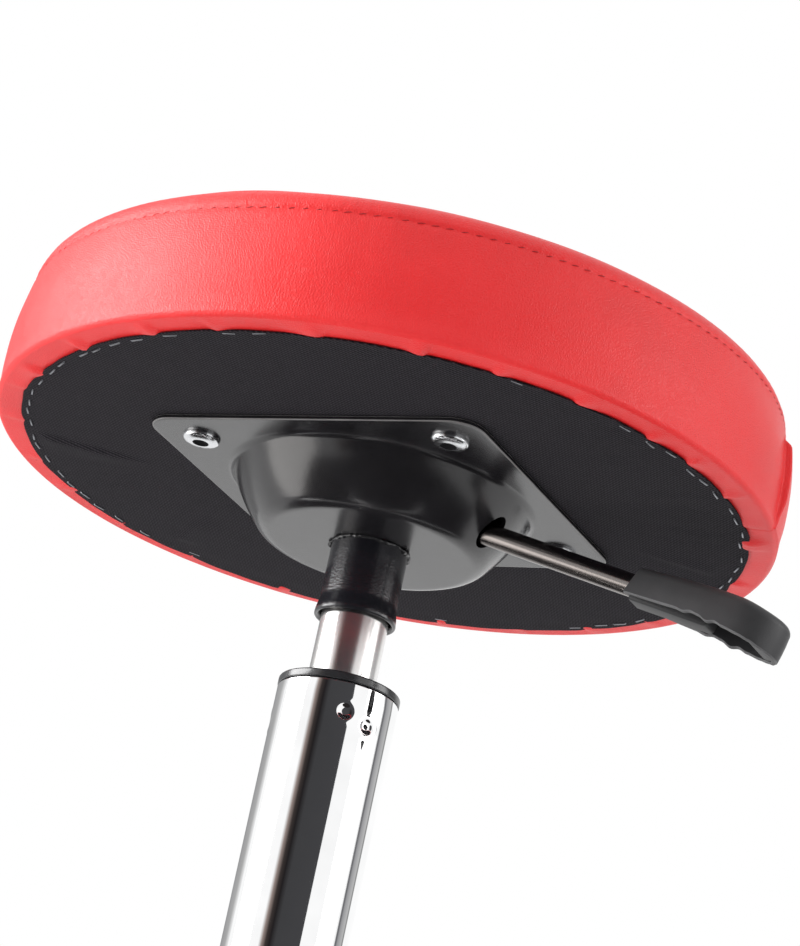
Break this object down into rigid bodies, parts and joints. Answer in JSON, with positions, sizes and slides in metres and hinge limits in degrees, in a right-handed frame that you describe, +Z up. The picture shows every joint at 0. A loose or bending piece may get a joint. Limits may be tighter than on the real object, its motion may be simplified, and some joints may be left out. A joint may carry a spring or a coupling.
{
  "type": "mechanic rolling seat",
  "caption": "Round padded work seat on a gas lift with a height lever, over a chrome column and a star base on swivel casters",
  "frame": {"origin": "on the floor, under the centre of the base and the seat, on the column's axis", "axes": "+Z is up along the column; +X is the way the height lever points; -Y is the way one leg points"},
  "size_m": [0.485, 0.4801, 0.4343],
  "materials": {
    "leatherette": "soft grained red leatherette",
    "foam": "open-cell foam",
    "plywood": "plain plywood",
    "dust_fabric": "black woven dust cloth",
    "black_enamel": "gloss black paint on pressed steel",
    "zinc": "zinc plated",
    "brass": "plain brass",
    "bare_steel": "smooth bare steel",
    "black_plastic": "satin black moulded plastic",
    "rubber": "dull black rubber",
    "chrome": "polished chrome plate"
  },
  "bodies": {
    "base": {"base_hub": "chrome", "base_leg_1": "chrome", "base_leg_2": "chrome", "base_leg_3": "chrome", "base_leg_4": "chrome", "base_leg_5": "chrome", "column_tube": "chrome", "column_bushing": "black_plastic", "thrust_bearing": "bare_steel", "caster_stem_1": "bare_steel", "caster_stem_2": "bare_steel", "caster_stem_3": "bare_steel", "caster_stem_4": "bare_steel", "caster_stem_5": "bare_steel"},
    "rod": {"piston_rod": "bare_steel", "piston": "black_plastic", "rubber_bumper": "rubber", "rod_clip": "bare_steel"},
    "seat": {"seat_cover": "leatherette", "seat_foam": "foam", "seat_board": "plywood", "dust_cover": "dust_fabric", "mounting_plate": "black_enamel", "seat_screw_1": "zinc", "seat_screw_2": "zinc", "seat_screw_3": "zinc", "seat_screw_4": "zinc", "screw_insert_1": "brass", "screw_insert_2": "brass", "screw_insert_3": "brass", "screw_insert_4": "brass", "socket_tube": "black_enamel", "gas_cylinder": "bare_steel", "cylinder_gland": "black_plastic", "lever_bracket": "bare_steel", "lever_pivot_pin": "bare_steel"},
    "lever": {"lever_rod": "bare_steel", "lever_grip": "black_plastic"},
    "valve": {"valve_pin": "bare_steel"},
    "caster_1": {"caster_housing_1": "black_plastic"},
    "wheels_1": {"caster_axle_1": "bare_steel", "caster_wheel_left_1": "black_plastic", "caster_wheel_right_1": "black_plastic"},
    "caster_2": {"caster_housing_2": "black_plastic"},
    "wheels_2": {"caster_axle_2": "bare_steel", "caster_wheel_left_2": "black_plastic", "caster_wheel_right_2": "black_plastic"},
    "caster_3": {"caster_housing_3": "black_plastic"},
    "wheels_3": {"caster_axle_3": "bare_steel", "caster_wheel_left_3": "black_plastic", "caster_wheel_right_3": "black_plastic"},
    "caster_4": {"caster_housing_4": "black_plastic"},
    "wheels_4": {"caster_axle_4": "bare_steel", "caster_wheel_left_4": "black_plastic", "caster_wheel_right_4": "black_plastic"},
    "caster_5": {"caster_housing_5": "black_plastic"},
    "wheels_5": {"caster_axle_5": "bare_steel", "caster_wheel_left_5": "black_plastic", "caster_wheel_right_5": "black_plastic"}
  },
  "joints": [
    {"name": "seat_swivel", "type": "hinge", "parent": "base", "child": "rod", "pos_m": [0, 0, 0.0739], "axis": [0, 0, 1], "continuous": true},
    {"name": "seat_lift", "type": "slide", "parent": "rod", "child": "seat", "axis": [0, 0, 1], "range_m": [0, 0.115]},
    {"name": "lever_pull", "type": "hinge", "parent": "seat", "child": "lever", "pos_m": [0.036, 0, 0.34998], "axis": [0, -1, 0], "range_deg": [0, 5]},
    {"name": "valve_press", "type": "slide", "parent": "seat", "child": "valve", "axis": [0, 0, -1], "range_m": [0, 0.0031]},
    {"name": "caster_swivel_1", "type": "hinge", "parent": "base", "child": "caster_1", "pos_m": [0, -0.23, 0.061], "axis": [0, 0, 1], "continuous": true},
    {"name": "caster_roll_1", "type": "hinge", "parent": "caster_1", "child": "wheels_1", "pos_m": [0, -0.2075, 0.0275], "axis": [1, 0, 0], "continuous": true},
    {"name": "caster_swivel_2", "type": "hinge", "parent": "base", "child": "caster_2", "pos_m": [0.21874, -0.07107, 0.061], "axis": [0, 0, 1], "continuous": true},
    {"name": "caster_roll_2", "type": "hinge", "parent": "caster_2", "child": "wheels_2", "pos_m": [0.21874, -0.04857, 0.0275], "axis": [1, 0, 0], "continuous": true},
    {"name": "caster_swivel_3", "type": "hinge", "parent": "base", "child": "caster_3", "pos_m": [0.13519, 0.18607, 0.061], "axis": [0, 0, 1], "continuous": true},
    {"name": "caster_roll_3", "type": "hinge", "parent": "caster_3", "child": "wheels_3", "pos_m": [0.13519, 0.20857, 0.0275], "axis": [1, 0, 0], "continuous": true},
    {"name": "caster_swivel_4", "type": "hinge", "parent": "base", "child": "caster_4", "pos_m": [-0.13519, 0.18607, 0.061], "axis": [0, 0, 1], "continuous": true},
    {"name": "caster_roll_4", "type": "hinge", "parent": "caster_4", "child": "wheels_4", "pos_m": [-0.13519, 0.20857, 0.0275], "axis": [1, 0, 0], "continuous": true},
    {"name": "caster_swivel_5", "type": "hinge", "parent": "base", "child": "caster_5", "pos_m": [-0.21874, -0.07107, 0.061], "axis": [0, 0, 1], "continuous": true},
    {"name": "caster_roll_5", "type": "hinge", "parent": "caster_5", "child": "wheels_5", "pos_m": [-0.21874, -0.04857, 0.0275], "axis": [1, 0, 0], "continuous": true}
  ],
  "couplings": [
    {"joint": "valve_press", "follows": "lever_pull", "m_per_rad": 0.03456}
  ]
}
